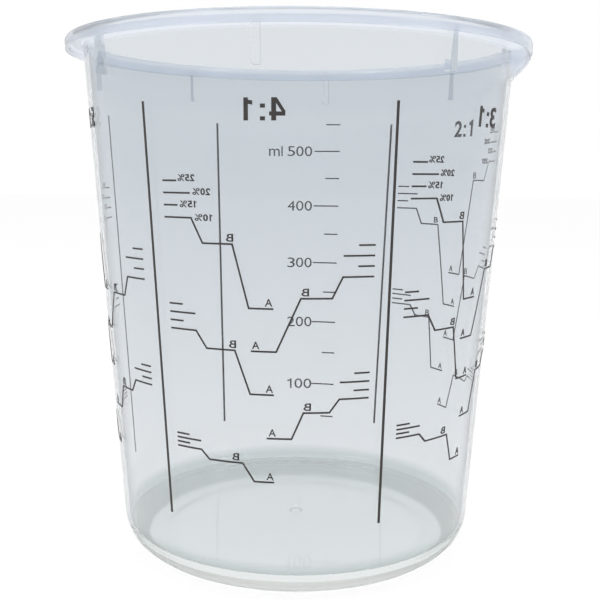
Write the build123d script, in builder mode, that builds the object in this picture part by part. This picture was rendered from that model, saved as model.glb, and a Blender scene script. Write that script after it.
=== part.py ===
from build123d import *
from math import cos, pi, radians, sin
import os

# Resin mixing cup: one thin-walled moulding with a spout, and the ink printed on its outside.
# Millimetres, +Z up, origin in the middle of the foot. Angles run from the near side (-Y)
# towards +X, in degrees.

# Body of the cup
cup_height = 115.7
wall_radius_at_foot = 40.66
wall_slope = 0.0672
wall_thickness = 0.97
foot_rounding_length = 7.95
foot_rounding_pull_share = 0.563
foot_ring_width = 1.71
foot_thickness = 1.2
foot_recess_inset = 2.0
foot_recess_turn_share = 0.4
floor_height = 5.45
floor_thickness = 1.15
floor_chamfer = 1.5

# Rim: a flange with a short skirt that hangs from its edge
flange_reach = 3.705
flange_thickness = 1.1
flange_root_chamfer = 0.6
flange_edge_chamfer = 0.5
skirt_height = 2.7
skirt_thickness = 0.9
mouth_chamfer = 0.9
mouth_clearance = 4.0

# Pouring spout: how far its sections stand along its rise and out from the wall, as shares
spout_angle = 80.9
spout_radius = 18.0
spout_wall = 1.2
spout_top_drop = 2.4
spout_rise = 6.4
spout_skirt_inset = 0.3
spout_section_shares = ((0.0, -0.18), (0.36, 0.38), (0.67, 0.83), (1.0, 1.0))
spout_lip_drop = 0.6
spout_lip_half_width = 12.5
spout_lip_depth = 8.0

# Stacking ribs under the flange
rib_step = 45.0
rib_count = 7
rib_drop = 9.55
rib_width = 1.6
rib_reach = 1.95
rib_root = 0.5
rib_chamfer = 0.3

# Ink
ink_thickness = 0.1
ink_margin = 2.5
divider_width = 0.55
line_width = 0.35
divider_rise = 11.25
divider_top_drop = 15.3
divider_lean = 0.45
divider_angles = (-101.06, -38.57, 23.29, 85.0, 147.62, 208.92)

# Printed volumes: where the scale starts to count, and where its last line is
scale_zero_rise = 1.97
scale_top_drop = 15.2
scale_last_volume = 550
scale_volume_step = 50
scale_long_volume_step = 100
scale_start_angle = 165.5
scale_short_angle = 170.4
scale_long_angle = 174.4

# Mixing sets: first component to the lower line, second to the next, solvent to the ticks
left_set_volumes = (300, 200, 100)
right_set_volumes = (250, 150)
solvent_line_share = 0.10
solvent_tick_shares = (0.15, 0.20, 0.25)
four_to_one_150_volumes = (180, 195, 204.5, 214.5, 224.5)
four_to_one_100_volumes = (120, 130, 135, 140, 145)

# Angles of the sets, counted from the divider that they start at
tick_start_angle = 4.4
short_tick_end_angle = 8.6
long_tick_end_angle = 12.3
left_set_angles = ((15.2, 22.9, 26.7, 32.8), (15.2, 22.9, 26.7, 32.8), (14.7, 24.3, 27.4, 32.8))
right_set_angles = ((14.8, 22.4, 28.4, 34.8), (14.8, 21.5, 24.5, 31.0))


def wall_radius(height):
    return wall_radius_at_foot + wall_slope * height


def inner_radius(height):
    return wall_radius(height) - wall_thickness


# Heights and radii that follow from the sizes above. The recess under the floor widens above the
# foot ring and follows the outer rounding, so that the side of the foot is about as thin as the wall.
flange_radius = wall_radius(cup_height) + flange_reach
flange_bottom = cup_height - flange_thickness
foot_recess_mouth_radius = wall_radius_at_foot - foot_rounding_length - foot_ring_width
foot_recess_top_radius = wall_radius_at_foot - foot_recess_inset
foot_recess_width = foot_recess_top_radius - foot_recess_mouth_radius
foot_recess_turn_radius = foot_recess_mouth_radius + foot_recess_width * foot_recess_turn_share
foot_recess_depth = floor_height - floor_thickness
skirt_bottom = cup_height - skirt_height
scale_zero_height = floor_height + scale_zero_rise
scale_top_height = cup_height - scale_top_drop
divider_bottom = floor_height + divider_rise
divider_top = cup_height - divider_top_drop
ink_bottom = divider_bottom - ink_margin
ink_top = divider_top + ink_margin

# The inside is a cone, so volume grows with the cube of its radius. One printed millilitre is
# the volume below the last line over that line's number, which comes to 1000 cubic millimetres.
cube_at_zero = inner_radius(scale_zero_height) ** 3
cube_per_volume = (inner_radius(scale_top_height) ** 3 - cube_at_zero) / scale_last_volume
printed_millilitre = pi * cube_per_volume / (3 * wall_slope)
print("one printed millilitre, in cubic millimetres:", round(printed_millilitre, 1))


def level_height(volume):
    # Height at which the tapered inside holds this volume
    radius = (cube_at_zero + volume * cube_per_volume) ** (1 / 3)
    return (radius - inner_radius(0)) / wall_slope


def outward_plane(angle):
    # Upright plane through the axis, seen from outside: x to the right, y up
    turn = radians(angle)
    return Plane(origin=(0, 0, 0), x_dir=(cos(turn), sin(turn), 0), z_dir=(sin(turn), -cos(turn), 0))


def on_wall(angle, height, middle_angle):
    # Point of the wall, flattened onto the outward plane at the middle angle
    return (wall_radius(height) * sin(radians(angle - middle_angle)), height)


def band(path, width):
    # Closed outline of a straight-edged line of this width, mitred at its bends
    points = [Vector(*point) for point in path]
    steps = [(after - before).normalized() for before, after in zip(points, points[1:])]
    upper = []
    lower = []
    for point, arriving, leaving in zip(points, steps[:1] + steps, steps + steps[-1:]):
        along = (arriving + leaving).normalized()
        across = Vector(-along.Y, along.X)
        reach = width / 2 / across.dot(Vector(-leaving.Y, leaving.X))
        upper.append(point + across * reach)
        lower.append(point - across * reach)
    return upper + lower[::-1]


def set_levels(ratio, volume):
    # Volumes at the second line, at the solvent line and at the three solvent ticks
    if ratio == 4 and volume == 150:
        return four_to_one_150_volumes
    if ratio == 4 and volume == 100:
        return four_to_one_100_volumes
    mixed = volume * (1 + 1 / ratio)
    shares = (solvent_line_share,) + solvent_tick_shares
    return (mixed,) + tuple(mixed + volume * share for share in shares)


def set_paths(ratio, volume, divider, side, angles, middle_angle):
    # Stepped line of one mixing set and its ticks, as paths on the outward plane
    mixed, solvent, first, second, third = (level_height(level) for level in set_levels(ratio, volume))
    base = level_height(volume)
    slant_end, mixed_end, slope_end, base_end = angles
    stepped = (
        (tick_start_angle, solvent),
        (long_tick_end_angle, solvent),
        (slant_end, mixed),
        (mixed_end, mixed),
        (slope_end, base),
        (base_end, base),
    )
    paths = [
        stepped,
        ((tick_start_angle, first), (short_tick_end_angle, first)),
        ((tick_start_angle, second), (long_tick_end_angle, second)),
        ((tick_start_angle, third), (short_tick_end_angle, third)),
    ]
    return [
        [on_wall(divider + side * angle, height, middle_angle) for angle, height in path]
        for path in paths
    ]


def panel_paths(ratio, left_divider, right_divider):
    # All the lines of one ratio panel between its two dividers
    middle_angle = (left_divider + right_divider) / 2
    paths = []
    for volume, angles in zip(left_set_volumes, left_set_angles):
        paths += set_paths(ratio, volume, left_divider, 1, angles, middle_angle)
    for volume, angles in zip(right_set_volumes, right_set_angles):
        paths += set_paths(ratio, volume, right_divider, -1, angles, middle_angle)
    return paths


# The cup: the solid outside first, then the spout and the ribs, then the inside is taken out
spout_plane = Plane.XY.rotated((0, 0, spout_angle - 90))
spout_top_height = cup_height - spout_top_drop
spout_reach = flange_radius - spout_skirt_inset - wall_radius(spout_top_height)
spout_sections = []
for rise_share, reach_share in spout_section_shares:
    section_height = spout_top_height - spout_rise * (1 - rise_share)
    section_tip = wall_radius(section_height) + spout_reach * reach_share
    spout_sections.append((section_height, section_tip - spout_radius))
spout_top_middle = spout_sections[-1][-1]
rib_bottom = cup_height - rib_drop
rib_inner = wall_radius(rib_bottom) - rib_root
rib_outer = wall_radius(rib_bottom) + rib_reach
above_rim = cup_height + mouth_clearance
beyond_rim = flange_radius + mouth_clearance

with BuildPart() as cup:
    # Outside, foot, flange and skirt
    with BuildSketch(Plane.XZ):
        with BuildLine():
            foot_start = (wall_radius_at_foot - foot_rounding_length, 0)
            foot_end = (wall_radius(foot_rounding_length), foot_rounding_length)
            foot_pull = foot_rounding_length * (1 - foot_rounding_pull_share)
            Bezier(
                foot_start,
                (wall_radius_at_foot - foot_pull, 0),
                (wall_radius(foot_pull), foot_pull),
                foot_end,
            )
            Polyline(
                foot_end,
                (wall_radius(flange_bottom - flange_root_chamfer), flange_bottom - flange_root_chamfer),
                (wall_radius(flange_bottom) + flange_root_chamfer, flange_bottom),
                (flange_radius - skirt_thickness, flange_bottom),
                (flange_radius - skirt_thickness, skirt_bottom),
                (flange_radius, skirt_bottom),
                (flange_radius, cup_height - flange_edge_chamfer),
                (flange_radius - flange_edge_chamfer, cup_height),
                (0, cup_height),
                (0, foot_recess_depth),
                (foot_recess_top_radius, foot_recess_depth),
                (foot_recess_turn_radius, foot_thickness),
                (foot_recess_mouth_radius, foot_thickness),
                (foot_recess_mouth_radius, 0),
                foot_start,
            )
        make_face()
    revolve(axis=Axis.Z)
    # Outside of the spout, a leaning half pipe that grows out of the wall
    for height, middle in spout_sections:
        with BuildSketch(spout_plane.offset(height)):
            with Locations((middle, 0)):
                Circle(spout_radius)
    loft()
    with BuildSketch(spout_plane.offset(spout_top_height)):
        with Locations((spout_top_middle, 0)):
            Circle(spout_radius)
    extrude(amount=flange_bottom + flange_thickness / 2 - spout_top_height)
    # Ribs that hang below the flange
    with BuildSketch(Plane.XY.offset(rib_bottom)):
        first_rib_angle = spout_angle - 90 + rib_step
        rib_span = rib_step * (rib_count - 1)
        rib_middle = (rib_inner + rib_outer) / 2
        with PolarLocations(rib_middle, rib_count, first_rib_angle, rib_span, endpoint=True):
            Rectangle(rib_outer - rib_inner, rib_width)
        outer_corners = [
            corner for corner in vertices() if Vector(corner.X, corner.Y).length > wall_radius(rib_bottom)
        ]
        chamfer(outer_corners, length=rib_chamfer)
    extrude(amount=flange_bottom + flange_thickness / 2 - rib_bottom)
    # Inside of the cup and the top of the rim
    with BuildSketch(Plane.XZ):
        with BuildLine():
            Polyline(
                (0, floor_height),
                (inner_radius(floor_height) - floor_chamfer, floor_height),
                (inner_radius(floor_height + floor_chamfer), floor_height + floor_chamfer),
                (inner_radius(cup_height - mouth_chamfer), cup_height - mouth_chamfer),
                (inner_radius(cup_height) + mouth_chamfer, cup_height),
                (beyond_rim, cup_height),
                (beyond_rim, above_rim),
                (0, above_rim),
                close=True,
            )
        make_face()
    revolve(axis=Axis.Z, mode=Mode.SUBTRACT)
    # Channel of the spout
    for height, middle in spout_sections:
        with BuildSketch(spout_plane.offset(height)):
            with Locations((middle, 0)):
                Circle(spout_radius - spout_wall)
    loft(mode=Mode.SUBTRACT)
    with BuildSketch(spout_plane.offset(spout_top_height)):
        with Locations((spout_top_middle, 0)):
            Circle(spout_radius - spout_wall)
    extrude(amount=above_rim - spout_top_height, mode=Mode.SUBTRACT)
    # Lip of the spout, dipped a little below the rim
    lip_radius = (spout_lip_half_width**2 + spout_lip_drop**2) / (2 * spout_lip_drop)
    with BuildSketch(outward_plane(spout_angle).offset(flange_radius - spout_lip_depth)):
        with Locations((0, cup_height - spout_lip_drop + lip_radius)):
            Circle(lip_radius)
        with Locations((0, cup_height)):
            Rectangle(2 * spout_lip_half_width, 2 * mouth_clearance, mode=Mode.INTERSECT)
    extrude(amount=spout_lip_depth + mouth_clearance, mode=Mode.SUBTRACT)

# Film of ink all round the wall, from which each printed node takes its lines
with BuildPart() as ink_film:
    with BuildSketch(Plane.XZ):
        with BuildLine():
            Polyline(
                (wall_radius(ink_bottom), ink_bottom),
                (wall_radius(ink_bottom) + ink_thickness, ink_bottom),
                (wall_radius(ink_top) + ink_thickness, ink_top),
                (wall_radius(ink_top), ink_top),
                close=True,
            )
        make_face()
    revolve(axis=Axis.Z)

# Upright lines between the panels
with BuildPart() as panel_dividers:
    for angle in divider_angles:
        divider_path = (
            on_wall(angle + divider_lean, divider_bottom, angle),
            on_wall(angle - divider_lean, divider_top, angle),
        )
        with BuildSketch(outward_plane(angle)):
            with BuildLine():
                Polyline(*band(divider_path, divider_width), close=True)
            make_face()
        extrude(amount=flange_radius)
    add(ink_film.part, mode=Mode.INTERSECT)

# Millilitre scale
with BuildPart() as millilitre_scale:
    scale_middle_angle = (scale_start_angle + scale_long_angle) / 2
    with BuildSketch(outward_plane(scale_middle_angle)):
        for volume in range(scale_volume_step, scale_last_volume + 1, scale_volume_step):
            end_angle = scale_short_angle if volume % scale_long_volume_step else scale_long_angle
            tick_path = (
                on_wall(scale_start_angle, level_height(volume), scale_middle_angle),
                on_wall(end_angle, level_height(volume), scale_middle_angle),
            )
            with BuildLine():
                Polyline(*band(tick_path, line_width), close=True)
            make_face()
    extrude(amount=flange_radius)
    add(ink_film.part, mode=Mode.INTERSECT)

# Lines of the 2:1 panel
with BuildPart() as ratio_2_1_marks:
    with BuildSketch(outward_plane((divider_angles[3] + divider_angles[4]) / 2)):
        for path in panel_paths(2, divider_angles[3], divider_angles[4]):
            with BuildLine():
                Polyline(*band(path, line_width), close=True)
            make_face()
    extrude(amount=flange_radius)
    add(ink_film.part, mode=Mode.INTERSECT)

# Lines of the 3:1 panel
with BuildPart() as ratio_3_1_marks:
    with BuildSketch(outward_plane((divider_angles[2] + divider_angles[3]) / 2)):
        for path in panel_paths(3, divider_angles[2], divider_angles[3]):
            with BuildLine():
                Polyline(*band(path, line_width), close=True)
            make_face()
    extrude(amount=flange_radius)
    add(ink_film.part, mode=Mode.INTERSECT)

# Lines of the 4:1 panel
with BuildPart() as ratio_4_1_marks:
    with BuildSketch(outward_plane((divider_angles[1] + divider_angles[2]) / 2)):
        for path in panel_paths(4, divider_angles[1], divider_angles[2]):
            with BuildLine():
                Polyline(*band(path, line_width), close=True)
            make_face()
    extrude(amount=flange_radius)
    add(ink_film.part, mode=Mode.INTERSECT)

# Lines of the 5:1 panel
with BuildPart() as ratio_5_1_marks:
    with BuildSketch(outward_plane((divider_angles[0] + divider_angles[1]) / 2)):
        for path in panel_paths(5, divider_angles[0], divider_angles[1]):
            with BuildLine():
                Polyline(*band(path, line_width), close=True)
            make_face()
    extrude(amount=flange_radius)
    add(ink_film.part, mode=Mode.INTERSECT)

cup.part.label = "cup"
panel_dividers.part.label = "panel_dividers"
millilitre_scale.part.label = "millilitre_scale"
ratio_2_1_marks.part.label = "ratio_2_1_marks"
ratio_3_1_marks.part.label = "ratio_3_1_marks"
ratio_4_1_marks.part.label = "ratio_4_1_marks"
ratio_5_1_marks.part.label = "ratio_5_1_marks"

os.makedirs("parts", exist_ok=True)
export_step(cup.part, "parts/cup.step")
export_step(panel_dividers.part, "parts/panel_dividers.step")
export_step(millilitre_scale.part, "parts/millilitre_scale.step")
export_step(ratio_2_1_marks.part, "parts/ratio_2_1_marks.step")
export_step(ratio_3_1_marks.part, "parts/ratio_3_1_marks.step")
export_step(ratio_4_1_marks.part, "parts/ratio_4_1_marks.step")
export_step(ratio_5_1_marks.part, "parts/ratio_5_1_marks.step")
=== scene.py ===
# %% [markdown]
# # A resin mixing cup
# One thin moulding of clear, slightly milky plastic with ink printed on its outside. The packed
# CAD model gives the frame and the size; this notebook gives the cup its smooth skin, its
# lettering, its light and its materials.

# %% Load the frame
from math import atan2, cos, degrees, exp, hypot, log, pi, radians, sin

import bpy
from mathutils import Matrix, Vector


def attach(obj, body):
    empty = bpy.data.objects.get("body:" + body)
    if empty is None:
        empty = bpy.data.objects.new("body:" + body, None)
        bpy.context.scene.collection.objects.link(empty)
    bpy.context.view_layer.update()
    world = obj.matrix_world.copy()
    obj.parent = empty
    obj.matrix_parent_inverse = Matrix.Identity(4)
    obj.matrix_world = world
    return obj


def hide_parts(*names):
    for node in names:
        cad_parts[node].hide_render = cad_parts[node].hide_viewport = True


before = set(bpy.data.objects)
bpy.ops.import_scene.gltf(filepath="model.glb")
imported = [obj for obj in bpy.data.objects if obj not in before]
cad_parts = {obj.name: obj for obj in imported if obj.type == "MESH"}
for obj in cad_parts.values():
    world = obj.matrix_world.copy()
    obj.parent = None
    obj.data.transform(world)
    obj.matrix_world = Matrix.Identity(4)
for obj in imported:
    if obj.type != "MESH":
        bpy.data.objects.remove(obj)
bpy.context.scene.view_settings.view_transform = "Standard"
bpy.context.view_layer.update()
body = "root"
mm = 0.001

# %% [markdown]
# ## The sizes of the cup
# The wall is a cone, so one straight line gives its radius at any height. Angles run from the
# near side (-Y) towards +X, in degrees, as they do in the CAD model.

# %% Sizes
cup_height = 115.7
wall_radius_at_foot = 40.66
wall_slope = 0.0672
wall_thickness = 0.97
floor_height = 5.45
foot_thickness = 1.2
recess_mouth = 31.0
recess_turn = 36.5
recess_top = 38.66
recess_depth = 4.3
flange_radius = 52.14
flange_bottom = 114.6
skirt_bottom = 113.0
skirt_thickness = 0.9
spout_angle = 80.9


def wall_radius(height):
    return wall_radius_at_foot + wall_slope * height


def inner_radius(height):
    return wall_radius(height) - wall_thickness


def polar(angle, radius, height):
    # Point of the cup in metres
    turn = radians(angle)
    return Vector((radius * sin(turn), -radius * cos(turn), height)) * mm


def deselect_all():
    if bpy.context.object and bpy.context.object.mode != "OBJECT":
        bpy.ops.object.mode_set(mode="OBJECT")
    bpy.ops.object.select_all(action="DESELECT")


def make_active(piece):
    deselect_all()
    piece.select_set(True)
    bpy.context.view_layer.objects.active = piece


def apply_modifiers(piece):
    make_active(piece)
    for modifier in list(piece.modifiers):
        bpy.ops.object.modifier_apply(modifier=modifier.name)


# %% [markdown]
# ## Camera
# The camera stands at the place that a fit of the cup's outline, rims and printed lines gave:
# a hand's width above the bench, a little under two cup heights from the cup's axis, looking
# slightly down.

# %% Camera
camera_data = bpy.data.cameras.new("camera")
camera = bpy.data.objects.new("camera", camera_data)
bpy.context.scene.collection.objects.link(camera)
camera_data.sensor_width = 36.0
camera_data.lens = 54.05
camera_yaw = 0.0031
camera_pitch = -0.1412
camera_roll = 0.0076
camera_place = Vector((0, -213.1, 87.2)) * mm
aim = Matrix.Rotation(-camera_yaw, 4, "Z") @ Matrix.Rotation(pi / 2 + camera_pitch, 4, "X")
aim = aim @ Matrix.Rotation(camera_roll, 4, "Z")
camera.matrix_world = Matrix.Translation(camera_place) @ aim
camera_data.clip_start = 0.01
camera_data.clip_end = 20.0
bpy.context.scene.camera = camera
print("camera at", [round(value, 4) for value in camera.location])

# %% [markdown]
# ## The profile of the cup
# The cup is turned from one closed line: floor, inside, rim, skirt, outside, foot and recess.
# It starts as one vertex, which is extruded from corner to corner as a pen would draw it. Each
# corner is then bevelled to the rounding that the mould gives it: the distance from the corner
# at which the arc starts is written beside the corner. The wall has a point close to each of its
# ends, so that the smooth shading of the rounded parts doesn't reach into the straight wall.

# %% Draw the profile with one vertex
shoulder = 104.0
wall_high = 103.5
wall_low = 8.6
gate_depth = 0.22
corners = [
    (0.0, floor_height - gate_depth, 0.0),
    (0.9, floor_height - gate_depth, 0.12),
    (1.25, floor_height, 0.12),
    (inner_radius(floor_height), floor_height, 1.9),
    (inner_radius(wall_low), wall_low, 0.0),
    (inner_radius(wall_high), wall_high, 0.0),
    (inner_radius(shoulder), shoulder, 0.0),
    (inner_radius(cup_height), cup_height, 1.1),
    (flange_radius, cup_height, 0.8),
    (flange_radius, skirt_bottom, 0.3),
    (flange_radius - skirt_thickness, skirt_bottom, 0.25),
    (flange_radius - skirt_thickness, flange_bottom, 0.4),
    (wall_radius(flange_bottom), flange_bottom, 0.7),
    (wall_radius(shoulder), shoulder, 0.0),
    (wall_radius(wall_high), wall_high, 0.0),
    (wall_radius(wall_low), wall_low, 0.0),
    (wall_radius_at_foot, 0.0, 7.95),
    (recess_mouth, 0.0, 0.35),
    (recess_mouth, foot_thickness, 0.3),
    (recess_turn, foot_thickness, 3.4),
    (recess_top, recess_depth, 0.3),
    (1.6, recess_depth, 0.12),
    (1.2, recess_depth - 0.35, 0.12),
    (0.0, recess_depth - 0.35, 0.0),
]

deselect_all()
bpy.ops.mesh.primitive_plane_add(size=mm)
cup = bpy.context.object
cup.name = "cup_moulding"
cup.data.name = "cup_moulding"
bpy.ops.object.mode_set(mode="EDIT")
bpy.ops.mesh.select_all(action="SELECT")
bpy.ops.mesh.merge(type="CENTER")
pen = Vector((0, 0, 0))
for index, (radius, height, rounding) in enumerate(corners):
    point = Vector((radius, 0, height)) * mm
    if index == 0:
        bpy.ops.transform.translate(value=point)
    else:
        bpy.ops.mesh.extrude_region_move(TRANSFORM_OT_translate={"value": point - pen})
    pen = point
print("profile corners:", len(corners))

# %% Round the corners and divide the rim


def select_vertices(piece, test):
    # Selects in object mode the vertices that pass the test, and returns to edit mode
    bpy.ops.object.mode_set(mode="EDIT")
    bpy.ops.mesh.select_mode(type="VERT")
    bpy.ops.mesh.select_all(action="DESELECT")
    bpy.ops.object.mode_set(mode="OBJECT")
    for vertex in piece.data.vertices:
        vertex.select = test(vertex.co)
    bpy.ops.object.mode_set(mode="EDIT")


for radius, height, rounding in corners:
    if rounding:
        place = Vector((radius, 0, height)) * mm
        select_vertices(cup, lambda point: (point - place).length < 0.01 * mm)
        steps = max(3, round(2.2 * rounding**0.5 + 2))
        bpy.ops.mesh.bevel(
            offset_type="OFFSET", offset=rounding * mm, segments=steps, affect="VERTICES", profile=0.5
        )


def divide_between(low, high, cuts):
    # Divides the profile's edges whose two ends lie between these two corners of a box
    def inside(point):
        return low[0] < point.x / mm < high[0] and low[1] < point.z / mm < high[1]

    select_vertices(cup, inside)
    bpy.ops.mesh.subdivide(number_cuts=cuts)


# The inside wall, the outside wall, the top of the rim and the underside of the flange
wall_cuts = 22
divide_between((46, shoulder - 0.1), (inner_radius(cup_height), cup_height - 0.8), wall_cuts)
divide_between((47.6, shoulder - 0.1), (wall_radius(cup_height), flange_bottom - 0.65), wall_cuts)
divide_between((48, cup_height - 0.1), (52, cup_height + 0.1), 5)
divide_between((48.7, flange_bottom - 0.05), (51.1, flange_bottom + 0.05), 3)
bpy.ops.object.mode_set(mode="OBJECT")


def walk_profile(mesh):
    # The profile's points in order, from the middle of the floor to the middle of the recess
    neighbours = {vertex.index: [] for vertex in mesh.vertices}
    for edge in mesh.edges:
        one, other = edge.vertices
        neighbours[one].append(other)
        neighbours[other].append(one)
    here = min(
        (index for index in neighbours if len(neighbours[index]) == 1),
        key=lambda index: -mesh.vertices[index].co.z,
    )
    path = [here]
    while True:
        onward = [index for index in neighbours[here] if index not in path[-2:]]
        if not onward:
            break
        here = onward[0]
        path.append(here)
    return [(mesh.vertices[index].co.x / mm, mesh.vertices[index].co.z / mm) for index in path]


profile = walk_profile(cup.data)
print("profile points:", len(profile), "from", profile[0], "to", profile[-1])

# %% [markdown]
# ## Turning the profile
# Spin carries the line once round the Z axis in steps of one degree. It starts at the angle of a
# stacking rib, so that every rib has its middle on one of the steps. The seam and the two middle
# points are then merged, which leaves a closed skin.

# %% Spin it round the axis
rib_phase = spout_angle - 90.0
turn_steps = 360
make_active(cup)
bpy.ops.object.mode_set(mode="EDIT")
bpy.ops.mesh.select_all(action="SELECT")
bpy.ops.mesh.spin(steps=turn_steps, angle=2 * pi, center=(0, 0, 0), axis=(0, 0, 1))
bpy.ops.mesh.select_all(action="SELECT")
bpy.ops.mesh.remove_doubles(threshold=0.002 * mm)
bpy.ops.mesh.normals_make_consistent(inside=False)
bpy.ops.object.mode_set(mode="OBJECT")
cup.data.transform(Matrix.Rotation(radians(rib_phase), 4, "Z"))
print("skin:", len(cup.data.vertices), "vertices")

# %% [markdown]
# ## The pouring spout
# In the mould the spout is pressed out of the wall just below the rim. The skin is dense there,
# so the same is done here: every point of the profile near the spout is moved outwards to a
# half pipe that leans out at 45 degrees and ends inside the skirt. Outside, the groove under the
# flange closes where the spout fills it. The rim dips a little at its lip.

# %% Press out the spout
spout_radius = 18.0
spout_foot_height = 107.3
spout_tip = 52.05
spout_half_angle = 32
channel_wall = 1.05
lip_drop = 0.6
lip_half_angle = 17.0
dip_start = 111.0
dip_height = 4.7
mouth_start = cup_height - 1.15
groove_top = 112.4
fill_start = 49.6
fill_end = 51.6
blend_width = 0.22


def soft_low(one, other, width):
    return -width * log(exp(-one / width) + exp(-other / width))


def soft_high(one, other, width):
    return width * log(exp(one / width) + exp(other / width))


def ease(value):
    value = min(1.0, max(0.0, value))
    return value * value * (3 - 2 * value)


def spout_reach(angle, height):
    # Radius of the spout's outside at this angle from its middle
    tip = soft_low(wall_radius(spout_foot_height) - 0.15 + height - spout_foot_height, spout_tip, 0.6)
    middle = tip - spout_radius
    across = middle * sin(radians(angle))
    if abs(across) > spout_radius:
        return 0.0
    return middle * cos(radians(angle)) + (spout_radius**2 - across**2) ** 0.5


skirt_inside = flange_radius - skirt_thickness
skirt_side = flange_radius - 0.31
outside_start = next(i for i, (r, z) in enumerate(profile) if r > flange_radius - 0.01)
groove = [
    i
    for i, (r, z) in enumerate(profile)
    if i > outside_start and z > groove_top and r < skirt_side
]


def pressed(index, angle):
    # Where the spout moves this point of the profile, at this angle from the spout's middle
    radius, height = profile[index]
    dip = lip_drop * ease(1 - abs(angle) / lip_half_angle)
    drop = dip * ease((height - dip_start) / dip_height)
    if index < outside_start:
        # Inside wall, mouth and the top of the rim
        wall = inner_radius(min(height, cup_height))
        mouth = inner_radius(cup_height)
        reached = soft_high(wall, spout_reach(angle, height) - channel_wall, blend_width)
        if height < mouth_start:
            return radius + reached - wall, height - drop
        share = (flange_radius - radius) / (flange_radius - mouth)
        moved = soft_high(mouth, spout_reach(angle, cup_height) - channel_wall, blend_width)
        return flange_radius - share * (flange_radius - moved), height - drop
    if index < groove[0] and index < outside_start + 2 or radius > skirt_side:
        # Outside of the skirt
        return radius, height - drop
    wall = wall_radius(min(height, flange_bottom))
    reached = soft_high(wall, spout_reach(angle, height), blend_width)
    if index not in groove:
        return radius + reached - wall, height - drop
    # The groove between the wall and the skirt
    corner = soft_high(wall_radius(groove_top), spout_reach(angle, groove_top), blend_width)
    filled = ease((corner - fill_start) / (fill_end - fill_start))
    share = (skirt_inside - min(radius, skirt_inside)) / (skirt_inside - wall_radius(flange_bottom))
    open_radius = skirt_inside - share * (skirt_inside - min(reached, skirt_inside - 0.3))
    if radius > skirt_inside:
        open_radius = radius
    order = (groove[-1] - index) / (len(groove) - 1)
    closed_radius = corner + (flange_radius - 0.3 - corner) * order
    closed_height = groove_top + (skirt_bottom - groove_top) * order
    return (
        open_radius + (closed_radius - open_radius) * filled,
        height + (closed_height - height) * filled - drop,
    )


def nearest_index(radius, height):
    return min(range(len(profile)), key=lambda i: hypot(profile[i][0] - radius, profile[i][1] - height))


known = {}
for vertex in cup.data.vertices:
    point = vertex.co / mm
    angle = degrees(atan2(point.x, -point.y)) - spout_angle
    angle = (angle + 180) % 360 - 180
    if point.z < shoulder or abs(angle) > spout_half_angle:
        continue
    radius = hypot(point.x, point.y)
    key = (round(radius, 2), round(point.z, 2))
    if key not in known:
        known[key] = nearest_index(radius, point.z)
    moved_radius, moved_height = pressed(known[key], angle)
    vertex.co = polar(angle + spout_angle, moved_radius, moved_height)
print("spout pressed out to", round(spout_reach(0, 113), 2), "mm from the axis")

# %% [markdown]
# ## The stacking ribs
# Seven small ribs hang under the flange, an eighth of a turn apart, so that a stack of cups
# doesn't jam. One rib is a cube with softened edges; the others are copies turned round the
# axis. The Boolean modifier then makes them one skin with the cup, as one moulding is.

# %% Add the ribs
rib_bottom = 106.15
rib_top = 115.1
rib_width = 1.6
rib_outer = 49.75
rib_inner = 47.35
deselect_all()
bpy.ops.mesh.primitive_cube_add(size=1.0)
rib = bpy.context.object
rib.name = "rib"
bpy.ops.object.mode_set(mode="EDIT")
bpy.ops.mesh.select_all(action="SELECT")
rib_size = Vector((rib_width, rib_outer - rib_inner, rib_top - rib_bottom)) * mm
bpy.ops.transform.resize(value=rib_size)
bpy.ops.mesh.select_mode(type="EDGE")
bpy.ops.mesh.select_all(action="DESELECT")
bpy.ops.object.mode_set(mode="OBJECT")
for edge in rib.data.edges:
    ends = [rib.data.vertices[index].co for index in edge.vertices]
    outer = all(end.y < 0 for end in ends)
    inner = all(end.y > 0 for end in ends)
    lower = all(end.z < 0 for end in ends)
    upper = all(end.z > 0 for end in ends)
    edge.select = outer and not upper or lower and not inner
bpy.ops.object.mode_set(mode="EDIT")
bpy.ops.mesh.bevel(offset=0.25 * mm, segments=3, affect="EDGES")
bpy.ops.mesh.select_all(action="SELECT")
rib_middle = Vector((0, -(rib_outer + rib_inner) / 2, (rib_top + rib_bottom) / 2)) * mm
bpy.ops.transform.translate(value=rib_middle)
bpy.ops.object.mode_set(mode="OBJECT")
ribs = [rib]
for step in range(1, 8):
    copy = rib.copy()
    copy.data = rib.data.copy()
    bpy.context.scene.collection.objects.link(copy)
    copy.data.transform(Matrix.Rotation(radians(spout_angle + 45.0 * step), 4, "Z"))
    ribs.append(copy)
bpy.data.objects.remove(ribs.pop(0))
make_active(ribs[0])
for copy in ribs:
    copy.select_set(True)
bpy.ops.object.join()
rib_set = bpy.context.object
union = cup.modifiers.new("ribs", "BOOLEAN")
union.operation = "UNION"
union.solver = "EXACT"
union.object = rib_set
apply_modifiers(cup)
bpy.data.objects.remove(rib_set)
make_active(cup)
bpy.ops.object.shade_smooth_by_angle(angle=radians(38))
print("cup with ribs:", len(cup.data.vertices), "vertices")

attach(cup, body)
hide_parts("cup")

# %% [markdown]
# ## Patterns that several materials share
# A moulded or printed surface is never quite even. A grain varies the tone and the roughness of
# the plastic and of the ink, and a faint ripple, drawn out along the cup, disturbs its gloss. Each
# could be built again in every material. Here each is a node group that is built once, and placed
# in a material with that material's own values.

# %% Helpers for materials


def new_material(name):
    material = bpy.data.materials.new(name)
    material.use_nodes = True
    nodes = material.node_tree.nodes
    return material, nodes, material.node_tree.links, nodes["Principled BSDF"]


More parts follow.
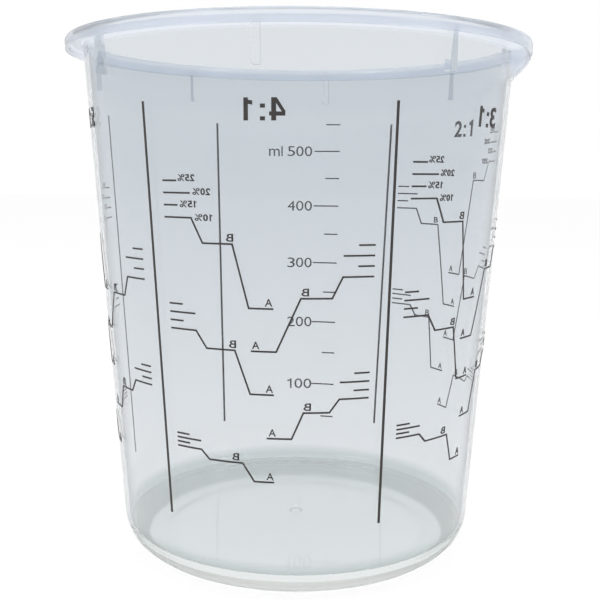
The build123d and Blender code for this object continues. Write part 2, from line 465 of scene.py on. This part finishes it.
def spread(nodes, links, value, low, high, start=0.0, end=1.0):
    # Maps a value between start and end onto another range
    remap = nodes.new("ShaderNodeMapRange")
    remap.inputs["From Min"].default_value = start
    remap.inputs["From Max"].default_value = end
    remap.inputs["To Min"].default_value = low
    remap.inputs["To Max"].default_value = high
    links.new(value, remap.inputs["Value"])
    return remap.outputs["Result"]


def mix_tones(nodes, links, share, low_colour, high_colour):
    # Each colour is a plain value or the output of another mix
    mix = nodes.new("ShaderNodeMix")
    mix.data_type = "RGBA"
    links.new(share, mix.inputs["Factor"])
    for socket, colour in ((mix.inputs["A"], low_colour), (mix.inputs["B"], high_colour)):
        if isinstance(colour, tuple):
            socket.default_value = colour
        else:
            links.new(colour, socket)
    return mix.outputs["Result"]


# %% Build the grain
grain_group = bpy.data.node_groups.new("surface_grain", "ShaderNodeTree")
grain_group.interface.new_socket("Scale", in_out="INPUT", socket_type="NodeSocketFloat")
grain_group.interface.new_socket("Detail", in_out="INPUT", socket_type="NodeSocketFloat")
grain_group.interface.new_socket("Stretch", in_out="INPUT", socket_type="NodeSocketVector")
grain_group.interface.new_socket("Grain", in_out="OUTPUT", socket_type="NodeSocketFloat")
nodes = grain_group.nodes
links = grain_group.links
group_input = nodes.new("NodeGroupInput")
group_output = nodes.new("NodeGroupOutput")
coordinates = nodes.new("ShaderNodeTexCoord")
mapping = nodes.new("ShaderNodeMapping")
noise = nodes.new("ShaderNodeTexNoise")
links.new(coordinates.outputs["Object"], mapping.inputs["Vector"])
links.new(group_input.outputs["Stretch"], mapping.inputs["Scale"])
links.new(mapping.outputs["Vector"], noise.inputs["Vector"])
links.new(group_input.outputs["Scale"], noise.inputs["Scale"])
links.new(group_input.outputs["Detail"], noise.inputs["Detail"])
links.new(noise.outputs["Fac"], group_output.inputs["Grain"])


def place_grain(nodes, scale, detail, stretch=(1, 1, 1)):
    grain = nodes.new("ShaderNodeGroup")
    grain.node_tree = grain_group
    grain.inputs["Scale"].default_value = scale
    grain.inputs["Detail"].default_value = detail
    grain.inputs["Stretch"].default_value = stretch
    return grain.outputs["Grain"]


# %% Build the ripple
ripple_group = bpy.data.node_groups.new("moulding_ripple", "ShaderNodeTree")
ripple_group.interface.new_socket("Strength", in_out="INPUT", socket_type="NodeSocketFloat")
ripple_group.interface.new_socket("Normal", in_out="OUTPUT", socket_type="NodeSocketVector")
nodes = ripple_group.nodes
links = ripple_group.links
group_input = nodes.new("NodeGroupInput")
group_output = nodes.new("NodeGroupOutput")
bump = nodes.new("ShaderNodeBump")
bump.inputs["Distance"].default_value = 0.001
links.new(group_input.outputs["Strength"], bump.inputs["Strength"])
links.new(place_grain(nodes, 26, 2, (1, 1, 0.3)), bump.inputs["Height"])
links.new(bump.outputs["Normal"], group_output.inputs["Normal"])
print("shared patterns:", grain_group.name, ripple_group.name)

# %% [markdown]
# ## The plastic
# Clear polypropylene lets most of the light through, but it is never quite clear: it looks
# faintly grey and bluish, and greener where it is thick. It could be made with a scattering
# volume, which is slow and noisy. Here a Principled shader with nearly full Transmission takes
# the tone of each wall from its base colour. That tone holds painted light and shade: painted
# light low on the wall, painted shade growing towards the rim, and the darkest painted shade in
# the floor, which stands for the shaded bench under the cup. Its index of refraction is kept low: walls
# as thin as these hardly bend what shows through them. The surface is nearly smooth, because any
# roughness blurs the print on the far side. There is no Volume Absorption: the skin has several
# finishes, and light that goes in through one and out through another made the ribs black.

# %% Make the plastic


def plastic_finish(name, transmission, coat):
    # A new material with all that the finishes of the plastic have in common
    material, nodes, links, shader = new_material(name)
    shader.inputs["Transmission Weight"].default_value = transmission
    shader.inputs["IOR"].default_value = 1.05
    shader.inputs["Coat Weight"].default_value = coat
    shader.inputs["Coat Roughness"].default_value = 0.04
    ripple = nodes.new("ShaderNodeGroup")
    ripple.node_tree = ripple_group
    ripple.inputs["Strength"].default_value = 0.02
    links.new(ripple.outputs["Normal"], shader.inputs["Normal"])
    return material, nodes, links, shader


def height_share(nodes, links, low, high):
    # 0 below the low height, 1 above the high one, in millimetres
    coordinates = nodes.new("ShaderNodeTexCoord")
    parts = nodes.new("ShaderNodeSeparateXYZ")
    links.new(coordinates.outputs["Object"], parts.inputs["Vector"])
    return spread(nodes, links, parts.outputs["Z"], 0.0, 1.0, low * mm, high * mm)


plastic, nodes, links, shader = plastic_finish("milky_clear_plastic", 0.985, 0.5)
# Painted light and shade in the tone: lightest low on the wall, darker towards the rim, darkest in the
# floor
floor_painted_shade_tone = (0.64, 0.685, 0.69, 1)
low_painted_light_tone = (0.858, 0.875, 0.89, 1)
rim_painted_shade_tone = (0.755, 0.785, 0.813, 1)
crown_painted_shade_tone = (0.725, 0.758, 0.79, 1)
edge_tone = (0.46, 0.48, 0.50, 1)
wall_tone_with_painted_shade = mix_tones(nodes, links, height_share(nodes, links, 10, 90), low_painted_light_tone, rim_painted_shade_tone)
wall_tone_with_painted_shade = mix_tones(nodes, links, height_share(nodes, links, 102, 106), wall_tone_with_painted_shade, crown_painted_shade_tone)
tone = mix_tones(nodes, links, height_share(nodes, links, 6.5, 9), floor_painted_shade_tone, wall_tone_with_painted_shade)
# Light that runs along a wall crosses more plastic, so it comes out darker
view = nodes.new("ShaderNodeLayerWeight")
view.inputs["Blend"].default_value = 0.5
along = spread(nodes, links, view.outputs["Facing"], 0.0, 1.0, 0.7, 0.88)
links.new(mix_tones(nodes, links, along, tone, edge_tone), shader.inputs["Base Color"])
haze = place_grain(nodes, 60, 3, (1, 1, 0.35))
links.new(spread(nodes, links, haze, 0.0, 0.035), shader.inputs["Roughness"])

# %% [markdown]
# ## Matt foot, dark foot edge and milky rim
# The wall is clear, but the underside is moulded with a fine matt texture, so nothing below the
# floor shows through it. The rounded side of the foot is given a darker tone. The rim and the
# spout are milky, because there the plastic folds back on itself. A mask could blend the finishes, but
# Transmission has to stay a plain value, so each finish is a rougher material of its own, with a
# fine grain in its tone, and each face of the cup gets the one that belongs to its place.

# %% Make the foot and rim finishes


def grained_finish(name, transmission, coat, rough, tones):
    material, nodes, links, shader = plastic_finish(name, transmission, coat)
    grain = place_grain(nodes, 700, 4)
    links.new(mix_tones(nodes, links, grain, *tones), shader.inputs["Base Color"])
    links.new(spread(nodes, links, grain, *rough), shader.inputs["Roughness"])
    return material


foot_tones = ((0.97, 0.985, 0.975, 1), (1.0, 1.0, 0.99, 1))
foot_edge_tones = ((0.48, 0.50, 0.49, 1), (0.54, 0.56, 0.55, 1))
rim_tones = ((0.79, 0.825, 0.88, 1), (0.83, 0.865, 0.92, 1))
matt_foot = grained_finish("matt_foot_plastic", 0.99, 0.0, (0.35, 0.5), foot_tones)
foot_edge = grained_finish("foot_edge_plastic", 0.97, 0.3, (0.42, 0.54), foot_edge_tones)
milky_rim = grained_finish("milky_rim_plastic", 0.97, 0.4, (0.3, 0.42), rim_tones)

# %% Give each face its finish
finishes = (plastic, matt_foot, milky_rim, foot_edge)
cup.data.materials.clear()
for material in finishes:
    cup.data.materials.append(material)
matt_height = 4.6
foot_side_slope = 0.4
rim_height = 112.9
milky_half_angle = 25
proud = 0.2
for polygon in cup.data.polygons:
    place = polygon.center / mm
    radius = hypot(place.x, place.y)
    outwards = (place.x * polygon.normal.x + place.y * polygon.normal.y) / radius
    from_spout = abs((degrees(atan2(place.x, -place.y)) - spout_angle + 180) % 360 - 180)
    in_spout = from_spout < milky_half_angle and radius > wall_radius(place.z) + proud
    if place.z < matt_height and outwards > foot_side_slope:
        finish = foot_edge
    elif place.z < matt_height:
        finish = matt_foot
    elif place.z > rim_height or in_spout:
        finish = milky_rim
    else:
        finish = plastic
    polygon.material_index = finishes.index(finish)
for index, finish in enumerate(finishes):
    print(finish.name, sum(polygon.material_index == index for polygon in cup.data.polygons), "faces")

# %% [markdown]
# ## The ink
# The lines are the CAD model's own films of ink. Printing ink is nearly black and dull, a touch
# brown, and thinner in places where the screen let less through.

# %% Make the ink
ink, nodes, links, shader = new_material("printing_ink")
patches = place_grain(nodes, 900, 3)
full_ink = (0.012, 0.010, 0.010, 1)
thin_ink = (0.035, 0.029, 0.027, 1)
links.new(mix_tones(nodes, links, patches, full_ink, thin_ink), shader.inputs["Base Color"])
links.new(spread(nodes, links, patches, 0.38, 0.6), shader.inputs["Roughness"])

ink_nodes = [
    "panel_dividers",
    "millilitre_scale",
    "ratio_2_1_marks",
    "ratio_3_1_marks",
    "ratio_4_1_marks",
    "ratio_5_1_marks",
]
for name in ink_nodes:
    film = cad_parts[name]
    film.data.materials.clear()
    film.data.materials.append(ink)
print("ink on", ink_nodes)

# %% [markdown]
# ## Where the printed levels are
# The inside is a cone, so the volume below a level grows with the cube of the radius there. The
# same rule that places the printed lines in the CAD model gives the height of each number and
# letter that belongs to a line.

# %% Heights of the printed levels
scale_zero_height = 7.42
scale_top_height = 100.5
scale_last_volume = 550
cube_at_zero = inner_radius(scale_zero_height) ** 3
cube_per_volume = (inner_radius(scale_top_height) ** 3 - cube_at_zero) / scale_last_volume


def level_height(volume):
    radius = (cube_at_zero + volume * cube_per_volume) ** (1 / 3)
    return (radius - inner_radius(0)) / wall_slope


def set_levels(ratio, volume):
    # Volumes at the second line and at the 10, 15, 20 and 25 percent marks above it
    if ratio == 4 and volume == 150:
        return 180, 195, 204.5, 214.5, 224.5
    if ratio == 4 and volume == 100:
        return 120, 130, 135, 140, 145
    mixed = volume * (1 + 1 / ratio)
    return (mixed,) + tuple(mixed + volume * share for share in (0.10, 0.15, 0.20, 0.25))


print("height of 50 and 550 ml:", round(level_height(50), 1), round(level_height(550), 1))

# %% [markdown]
# ## The printed numbers and letters
# The print reads the right way round from inside the cup, so from outside it is mirrored. A word
# could be projected onto the wall with a Shrinkwrap modifier, but that stretches it where the
# wall turns away. Here each word is a text object turned into a mesh, sized, and given the
# thickness of the ink by Solidify. Its points are then laid round the cone: the distance across
# the word becomes an angle, so the letters keep their width. A word that repeats is made once.

# %% Make one character as a flat sheet, one unit high


def fit_to(sheet, place, size):
    # Moves and sizes the flat sheet so that it fills the box at this place
    points = [vertex.co.copy() for vertex in sheet.data.vertices]
    low = Vector((min(point.x for point in points), min(point.y for point in points), 0))
    high = Vector((max(point.x for point in points), max(point.y for point in points), 0))
    make_active(sheet)
    bpy.ops.object.mode_set(mode="EDIT")
    bpy.ops.mesh.select_all(action="SELECT")
    bpy.ops.transform.translate(value=-low)
    scale = (size[0] / (high.x - low.x), size[1] / (high.y - low.y), 1)
    bpy.ops.transform.resize(value=scale, center_override=(0, 0, 0))
    bpy.ops.transform.translate(value=(place[0], place[1], 0))
    bpy.ops.object.mode_set(mode="OBJECT")


def figure_one(stem):
    # The built-in letters have a bare bar for a 1, so it is drawn: a stem with a flag to the left
    flag_low = 0.84 - stem / 2
    deselect_all()
    bpy.ops.mesh.primitive_plane_add(size=1.0)
    sheet = bpy.context.object
    fit_to(sheet, (0, 0), (stem, 1.0))
    for height in (flag_low, flag_low + 0.6 * stem + 0.04):
        bpy.ops.object.mode_set(mode="EDIT")
        bpy.ops.mesh.select_all(action="SELECT")
        bpy.ops.mesh.bisect(plane_co=(0, height, 0), plane_no=(0, 1, 0))
        bpy.ops.object.mode_set(mode="OBJECT")
    select_vertices(sheet, lambda point: point.x < 0.001 and flag_low - 0.001 < point.y < 0.99)
    bpy.ops.mesh.extrude_region_move(TRANSFORM_OT_translate={"value": (-0.24, -0.04, 0)})
    bpy.ops.object.mode_set(mode="OBJECT")
    return sheet


four_outline = (
    (0, 0.21),
    (0.43, 0.21),
    (0.43, 0),
    (0.66, 0),
    (0.66, 0.21),
    (0.76, 0.21),
    (0.76, 0.39),
    (0.66, 0.39),
    (0.66, 1),
    (0.4, 1),
    (0, 0.42),
)
four_counter = ((0.17, 0.39), (0.43, 0.39), (0.43, 0.76))


def closed_line(points):
    # Draws a closed line from point to point, as the profile of the cup is drawn
    deselect_all()
    bpy.ops.mesh.primitive_plane_add(size=0.01)
    bpy.ops.object.mode_set(mode="EDIT")
    bpy.ops.mesh.select_all(action="SELECT")
    bpy.ops.mesh.merge(type="CENTER")
    bpy.ops.transform.translate(value=(*points[0], 0))
    for here, there in zip(points, points[1:]):
        step = (there[0] - here[0], there[1] - here[1], 0)
        bpy.ops.mesh.extrude_region_move(TRANSFORM_OT_translate={"value": step})
    bpy.ops.object.mode_set(mode="OBJECT")
    line = bpy.context.object
    uses = [index for edge in line.data.edges for index in edge.vertices]
    for vertex in line.data.vertices:
        vertex.select = uses.count(vertex.index) == 1
    bpy.ops.object.mode_set(mode="EDIT")
    bpy.ops.mesh.edge_face_add()
    bpy.ops.object.mode_set(mode="OBJECT")
    return line


def figure_four():
    # Made bold, the built-in 4 fills its opening, so the 4 of a title is drawn too
    counter = closed_line(four_counter)
    sheet = closed_line(four_outline)
    counter.select_set(True)
    bpy.ops.object.join()
    bpy.ops.object.mode_set(mode="EDIT")
    bpy.ops.mesh.select_all(action="SELECT")
    bpy.ops.mesh.fill()
    bpy.ops.object.mode_set(mode="OBJECT")
    return sheet


def figure_colon():
    # The printed colon has square dots
    deselect_all()
    bpy.ops.mesh.primitive_plane_add(size=1.0)
    sheet = bpy.context.object
    fit_to(sheet, (0, 0), (0.21, 0.18))
    bpy.ops.object.mode_set(mode="EDIT")
    bpy.ops.mesh.select_all(action="SELECT")
    bpy.ops.mesh.duplicate_move(TRANSFORM_OT_translate={"value": (0, 0.55, 0)})
    bpy.ops.object.mode_set(mode="OBJECT")
    return sheet


def built_in_character(character, weight):
    # The openings of a percent sign are small, so it is thickened less
    deselect_all()
    bpy.ops.object.text_add()
    bpy.context.object.data.body = character
    bpy.context.object.data.offset = weight * (0.3 if character == "%" else 1.0)
    bpy.context.object.data.resolution_u = 4
    bpy.ops.object.convert(target="MESH")
    return bpy.context.object


# %% Put characters together to words
# Width and height of a character and the step to the next, as shares of the height of a digit
digit_shares = (0.68, 1.0, 0.78)
character_shares = {
    "1": (0.38, 1.0, 0.78),
    ":": (0.21, 0.73, 0.46),
    "%": (1.14, 1.0, 1.25),
    "m": (1.0, 0.74, 1.13),
    "l": (0.12, 1.0, 0.3),
    "A": (1.0, 1.0, 1.0),
    "B": (1.0, 1.0, 1.0),
}
ink_thickness = 0.1
ink_sink = 0.02
finished_words = {}


def flat_word(text, width, height, weight=0.0, stem=0.14):
    # Lower left corner at the origin, front towards +Z, sizes in metres
    key = (text, width, height)
    if key in finished_words:
        return finished_words[key]
    sheets = []
    reached = 0.0
    for character in text:
        wide, high, step = character_shares.get(character, digit_shares)
        if character == "1":
            sheet = figure_one(stem)
        elif character == ":":
            sheet = figure_colon()
        elif character == "4" and weight:
            sheet = figure_four()
        else:
            sheet = built_in_character(character, weight)
        fit_to(sheet, (reached + (step - wide) / 2, 0), (wide, high))
        sheets.append(sheet)
        reached += step
    make_active(sheets[0])
    for sheet in sheets:
        sheet.select_set(True)
    bpy.ops.object.join()
    word = bpy.context.object
    fit_to(word, (0, 0), (width * mm, height * mm))
    bpy.ops.object.mode_set(mode="EDIT")
    bpy.ops.mesh.select_all(action="SELECT")
    bpy.ops.mesh.remove_doubles(threshold=0.001 * mm)
    bpy.ops.object.mode_set(mode="OBJECT")
    wall = word.modifiers.new("ink", "SOLIDIFY")
    wall.thickness = ink_thickness * mm
    wall.offset = 1.0
    apply_modifiers(word)
    finished_words[key] = word
    return word


# %% Lay words round the wall


def print_on_wall(word, start_angle, low):
    # A copy of the word that starts at this angle and runs towards smaller angles
    copy = word.copy()
    copy.data = word.data.copy()
    bpy.context.scene.collection.objects.link(copy)
    for vertex in copy.data.vertices:
        across, up, depth = vertex.co / mm
        radius = wall_radius(low + up)
        vertex.co = polar(start_angle - degrees(across / radius), radius + depth - ink_sink, low + up)
    return copy


def join_words(name, words):
    # One piece from the words of a panel, with its faces turned outwards after the mirroring
    make_active(words[0])
    for word in words:
        word.select_set(True)
    bpy.ops.object.join()
    piece = bpy.context.object
    piece.name = name
    piece.data.name = name
    bpy.ops.object.mode_set(mode="EDIT")
    bpy.ops.mesh.select_all(action="SELECT")
    bpy.ops.mesh.normals_make_consistent(inside=False)
    bpy.ops.object.mode_set(mode="OBJECT")
    piece.data.materials.clear()
    piece.data.materials.append(ink)
    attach(piece, body)
    print(name, len(piece.data.vertices), "vertices")


# %% Numbers of the millilitre scale
digit_height = 2.8
number_width = 7.0
number_start = 183.7
unit_width = 3.9
unit_start = 190.2
numbers = []
for volume in (100, 200, 300, 400, 500):
    number = flat_word(str(volume), number_width, digit_height)
    numbers.append(print_on_wall(number, number_start, level_height(volume) - digit_height / 2))
unit = flat_word("ml", unit_width, digit_height)
numbers.append(print_on_wall(unit, unit_start, level_height(500) - digit_height / 2))
join_words("millilitre_numbers", numbers)

# %% Titles, percentages and component letters of the ratio panels
divider_angles = (-101.06, -38.57, 23.29, 85.0, 147.62)
title_width = 7.7
title_height = 4.1
title_low = 96.4
title_middle = 31.0
percent_width = 3.8
percent_height = 1.3
# For each percentage, its angle from the left divider and its lift above the mark
percent_places = {10: (13.35, 0.1), 15: (9.3, 0.25), 20: (13.05, 0.3), 25: (9.05, 0.55)}
letter_width = 1.45
letter_height = 1.5
letter_gap = 0.45
# Angles from the dividers to the letters at the two lines of a set
left_letters = {"A": 30.7, "B": 21.4}
right_letters = {250: {"A": 34.5, "B": 22.3}, 150: {"A": 30.5, "B": 21.5}}


def angle_of(width, height):
    return degrees(width / wall_radius(height))


for ratio, left, right in zip((5, 4, 3, 2), divider_angles, divider_angles[1:]):
    words = []
    title = flat_word(f"{ratio}:1", title_width, title_height, weight=0.024, stem=0.24)
    title_start = left + title_middle + angle_of(title_width, title_low) / 2
    words.append(print_on_wall(title, title_start, title_low))
    marks = set_levels(ratio, 300)[1:]
    for (percent, (offset, lift)), level in zip(percent_places.items(), marks):
        height = level_height(level) + lift
        word = flat_word(f"{percent}%", percent_width, percent_height, weight=0.026, stem=0.2)
        start = left + offset + angle_of(percent_width, height)
        words.append(print_on_wall(word, start, height - percent_height / 2))
    for volume in (300, 250, 200, 150, 100):
        levels = {"A": level_height(volume), "B": level_height(set_levels(ratio, volume)[0])}
        for letter, height in levels.items():
            word = flat_word(letter, letter_width, letter_height, weight=0.012)
            turn = angle_of(letter_width, height)
            if volume in right_letters:
                start = right - right_letters[volume][letter] + turn
            else:
                start = left + left_letters[letter] + turn
            words.append(print_on_wall(word, start, height + letter_gap))
    join_words(f"ratio_{ratio}_1_words", words)
for word in finished_words.values():
    bpy.data.objects.remove(word)

# %% [markdown]
# ## The stage
# A pale bench runs far behind the cup, and the world is the white of a studio. Rays from the
# camera, and those that the cup bends or mirrors, see plain white, so the background is white and
# no extra light is needed. The bench keeps a faint shadow.

# %% Bench
deselect_all()
bpy.ops.mesh.primitive_plane_add(size=6.0, location=(0, 0, 0))
bench = bpy.context.object
bench.name = "bench"
glow_share = 0.9
glow_strength = 1.02
bench_paint, nodes, links, shader = new_material("bench_white")
shader.inputs["Base Color"].default_value = (0.9, 0.9, 0.9, 1)
shader.inputs["Roughness"].default_value = 0.8
path = nodes.new("ShaderNodeLightPath")


def any_of(nodes, links, first, *others):
    # The highest of several shares
    value = first
    for other in others:
        higher = nodes.new("ShaderNodeMath")
        higher.operation = "MAXIMUM"
        links.new(value, higher.inputs[0])
        links.new(other, higher.inputs[1])
        value = higher.outputs["Value"]
    return value


share = nodes.new("ShaderNodeMath")
share.operation = "MULTIPLY"
share.inputs[1].default_value = glow_share
links.new(path.outputs["Is Camera Ray"], share.inputs[0])
seen = any_of(
    nodes,
    links,
    share.outputs["Value"],
    path.outputs["Is Glossy Ray"],
    path.outputs["Is Transmission Ray"],
)
glow = nodes.new("ShaderNodeEmission")
glow.inputs["Color"].default_value = (1, 1, 1, 1)
glow.inputs["Strength"].default_value = glow_strength
blend = nodes.new("ShaderNodeMixShader")
links.new(seen, blend.inputs["Fac"])
links.new(shader.outputs["BSDF"], blend.inputs[1])
links.new(glow.outputs["Emission"], blend.inputs[2])
links.new(blend.outputs["Shader"], nodes["Material Output"].inputs["Surface"])
bench.data.materials.append(bench_paint)

# %% World
lighting_level = 0.7
seen_level = 1.0
world = bpy.data.worlds.new("studio")
bpy.context.scene.world = world
world.use_nodes = True
nodes = world.node_tree.nodes
links = world.node_tree.links
background = nodes["Background"]
path = nodes.new("ShaderNodeLightPath")
seen = any_of(
    nodes,
    links,
    path.outputs["Is Camera Ray"],
    path.outputs["Is Glossy Ray"],
    path.outputs["Is Transmission Ray"],
)
background.inputs["Color"].default_value = (1, 1, 1, 1)
links.new(spread(nodes, links, seen, lighting_level, seen_level), background.inputs["Strength"])
print("world level:", lighting_level, "for lighting,", seen_level, "where it is seen")

# %% Lamps


def soft_box(name, place, aim, size, power):
    lamp_data = bpy.data.lights.new(name, "AREA")
    lamp_data.shape = "RECTANGLE"
    lamp_data.size, lamp_data.size_y = size
    lamp_data.energy = power
    lamp = bpy.data.objects.new(name, lamp_data)
    bpy.context.scene.collection.objects.link(lamp)
    lamp.location = place
    lamp.rotation_euler = (Vector(aim) - Vector(place)).to_track_quat("-Z", "Y").to_euler()
    print(name, power, "W")


soft_box("lamp_left", (-0.5, -0.35, 0.55), (0, 0, 0.06), (0.3, 0.3), 2.2)
soft_box("lamp_right", (0.45, -0.25, 0.5), (0, 0, 0.08), (0.2, 0.3), 1.4)
soft_box("lamp_top", (0.0, 0.25, 0.7), (0, 0, 0.05), (0.4, 0.3), 1.5)
